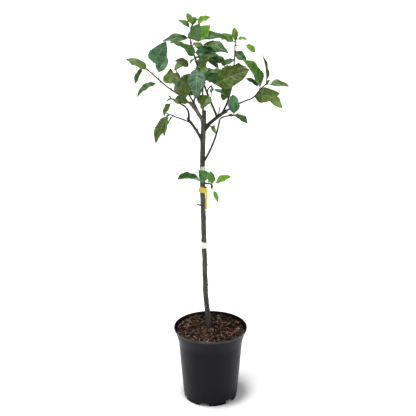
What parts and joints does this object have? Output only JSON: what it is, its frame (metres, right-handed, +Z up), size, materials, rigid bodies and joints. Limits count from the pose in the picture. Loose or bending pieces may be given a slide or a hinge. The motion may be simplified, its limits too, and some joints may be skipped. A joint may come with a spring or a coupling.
{
  "type": "potted apple tree",
  "caption": "Young apple tree with a slim leaning trunk, forked boughs and a loose leafy crown, growing in a black nursery pot.",
  "frame": {"origin": "centre of the flat underside of the pot, on the floor", "axes": "+Z up along the pot's axis, +X to the plant's right as seen from the front, -Y towards the front"},
  "size_m": [0.4846, 0.3567, 1.2377],
  "materials": {
    "bark": "matte",
    "foliage": "matte",
    "pot_plastic": "satin",
    "potting_mix": "matte",
    "tape": "satin",
    "label": "satin"
  },
  "bodies": {
    "root": {"bough_left": "bark", "bough_low_left": "bark", "bough_low_right": "bark", "bough_rear": "bark", "bough_right": "bark", "bough_right_long": "bark", "bough_right_up": "bark", "label": "label", "leader": "bark", "leaves_back": "foliage", "leaves_centre": "foliage", "leaves_crotch": "foliage", "leaves_hanging_left": "foliage", "leaves_inner": "foliage", "leaves_left": "foliage", "leaves_low_left": "foliage", "leaves_low_right": "foliage", "leaves_rear": "foliage", "leaves_rear_left": "foliage", "leaves_right": "foliage", "leaves_right_front": "foliage", "leaves_right_up": "foliage", "leaves_top": "foliage", "leaves_trunk": "foliage", "pot": "pot_plastic", "potting_mix": "potting_mix", "shoot_left": "bark", "spur_back": "bark", "spur_centre": "bark", "spur_crotch": "bark", "spur_inner": "bark", "spur_low_left": "bark", "spur_rear_left": "bark", "spur_right_front": "bark", "spur_trunk": "bark", "stub_trunk": "bark", "tie_lower": "tape", "tie_upper": "tape", "trunk": "bark", "twig_low_left": "bark"}
  },
  "joints": []
}
